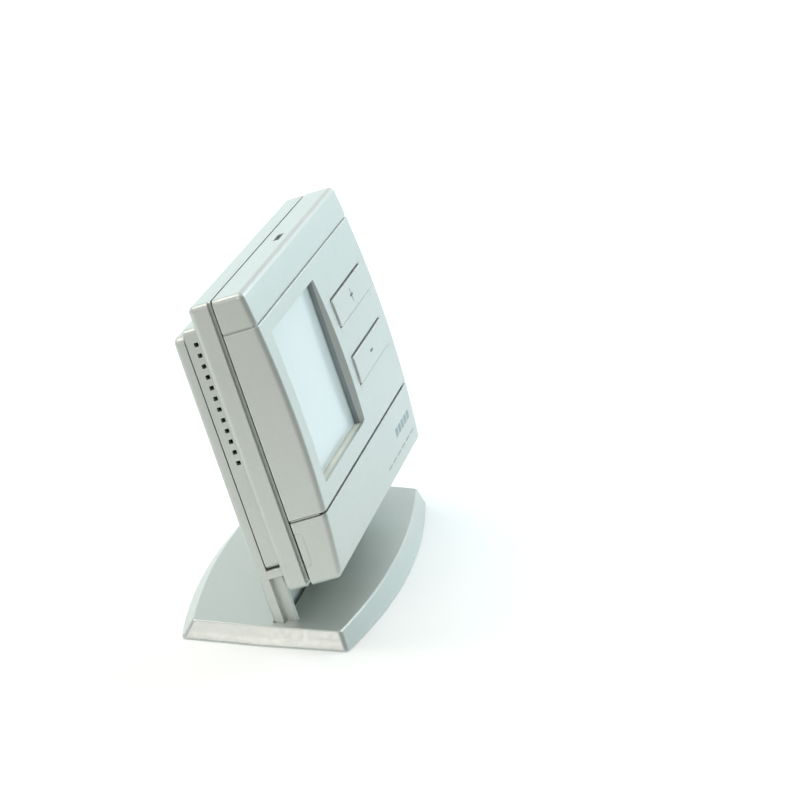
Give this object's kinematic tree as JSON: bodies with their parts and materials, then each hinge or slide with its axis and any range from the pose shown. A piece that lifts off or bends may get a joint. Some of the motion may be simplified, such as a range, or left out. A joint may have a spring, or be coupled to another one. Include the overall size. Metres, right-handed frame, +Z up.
{
  "type": "programmable room thermostat",
  "caption": "Shallow silver room thermostat with a sunken display, long plus and minus keys and a flip-down flap, hung on a leaning table stand.",
  "frame": {"origin": "centre of the bounding box's bottom face, on the surface that the stand rests on", "axes": "+X to the right seen from the front, along the length; +Y to the back; +Z up; the display faces -Y"},
  "size_m": [0.1326, 0.0558, 0.0949],
  "materials": {
    "silver_plastic": "satin silver paint on moulded plastic, fine grain",
    "rubber": "matt",
    "dark_plastic": "matt moulded",
    "white_plastic": "satin moulded",
    "clear_lens": "clear gloss",
    "display_glass": "pale grey-green liquid crystal panel",
    "silicone": "matt silicone",
    "circuit_board": "green solder resist",
    "steel": "nickel-plated",
    "copper": "enamelled copper wire",
    "cell_jacket": "plain printed jacket"
  },
  "bodies": {
    "stand": {"stand_base": "silver_plastic", "stand_upright": "silver_plastic", "stand_screw_left": "steel", "stand_screw_right": "steel", "foot_front_left": "rubber", "foot_front_right": "rubber", "foot_rear_left": "rubber", "foot_rear_right": "rubber"},
    "thermostat": {"back_shell": "silver_plastic"},
    "latch": {"release_latch": "dark_plastic"},
    "front_case": {"front_shell": "silver_plastic", "display_lens": "clear_lens", "display_frame": "dark_plastic", "display_glass": "display_glass", "light_guide": "white_plastic", "connector_strip_lower": "silicone", "connector_strip_upper": "silicone", "main_board": "circuit_board", "board_screw_top_left": "steel", "board_screw_top_right": "steel", "board_screw_bottom_left": "steel", "board_screw_bottom_right": "steel", "controller_chip": "dark_plastic", "clock_crystal": "steel", "smoothing_capacitor": "dark_plastic", "radio_module": "circuit_board", "antenna_coil": "copper", "temperature_sensor": "dark_plastic", "keypad_mat": "silicone", "battery_tray": "dark_plastic", "battery_lower": "cell_jacket", "battery_upper": "cell_jacket", "battery_spring_lower": "steel", "battery_spring_upper": "steel", "battery_contact_lower": "steel", "battery_contact_upper": "steel"},
    "flap": {"flap": "silver_plastic"},
    "key_plus": {"key_plus": "silver_plastic"},
    "key_minus": {"key_minus": "silver_plastic"},
    "program_key_1": {"program_key_1": "white_plastic"},
    "program_key_2": {"program_key_2": "white_plastic"},
    "program_key_3": {"program_key_3": "white_plastic"},
    "program_key_4": {"program_key_4": "white_plastic"},
    "program_key_5": {"program_key_5": "white_plastic"},
    "program_key_6": {"program_key_6": "white_plastic"}
  },
  "joints": [
    {"name": "case_lift", "type": "slide", "parent": "stand", "child": "thermostat", "axis": [0, 0.3486, 0.9373], "range_m": [0, 0.006]},
    {"name": "latch_press", "type": "slide", "parent": "thermostat", "child": "latch", "axis": [0, -0.3486, -0.9373], "range_m": [0, 0.001], "stiffness_N_per_m": 800, "springref_m": -0.0005},
    {"name": "front_open", "type": "hinge", "parent": "thermostat", "child": "front_case", "pos_m": [0, -0.01187, 0.0179], "axis": [1, 0, 0], "range_deg": [0, 25]},
    {"name": "flap_open", "type": "hinge", "parent": "front_case", "child": "flap", "pos_m": [0, -0.01367, 0.01964], "axis": [1, 0, 0], "range_deg": [0, 90]},
    {"name": "key_plus_press", "type": "slide", "parent": "front_case", "child": "key_plus", "axis": [0, 0.9373, -0.3486], "range_m": [0, 0.0008], "stiffness_N_per_m": 900, "springref_m": -0.0004},
    {"name": "key_minus_press", "type": "slide", "parent": "front_case", "child": "key_minus", "axis": [0, 0.9373, -0.3486], "range_m": [0, 0.0008], "stiffness_N_per_m": 900, "springref_m": -0.0004},
    {"name": "program_key_1_press", "type": "slide", "parent": "front_case", "child": "program_key_1", "axis": [0, 0.9373, -0.3486], "range_m": [0, 0.0004], "stiffness_N_per_m": 1200, "springref_m": -0.0002},
    {"name": "program_key_2_press", "type": "slide", "parent": "front_case", "child": "program_key_2", "axis": [0, 0.9373, -0.3486], "range_m": [0, 0.0004], "stiffness_N_per_m": 1200, "springref_m": -0.0002},
    {"name": "program_key_3_press", "type": "slide", "parent": "front_case", "child": "program_key_3", "axis": [0, 0.9373, -0.3486], "range_m": [0, 0.0004], "stiffness_N_per_m": 1200, "springref_m": -0.0002},
    {"name": "program_key_4_press", "type": "slide", "parent": "front_case", "child": "program_key_4", "axis": [0, 0.9373, -0.3486], "range_m": [0, 0.0004], "stiffness_N_per_m": 1200, "springref_m": -0.0002},
    {"name": "program_key_5_press", "type": "slide", "parent": "front_case", "child": "program_key_5", "axis": [0, 0.9373, -0.3486], "range_m": [0, 0.0004], "stiffness_N_per_m": 1200, "springref_m": -0.0002},
    {"name": "program_key_6_press", "type": "slide", "parent": "front_case", "child": "program_key_6", "axis": [0, 0.9373, -0.3486], "range_m": [0, 0.0004], "stiffness_N_per_m": 1200, "springref_m": -0.0002}
  ]
}
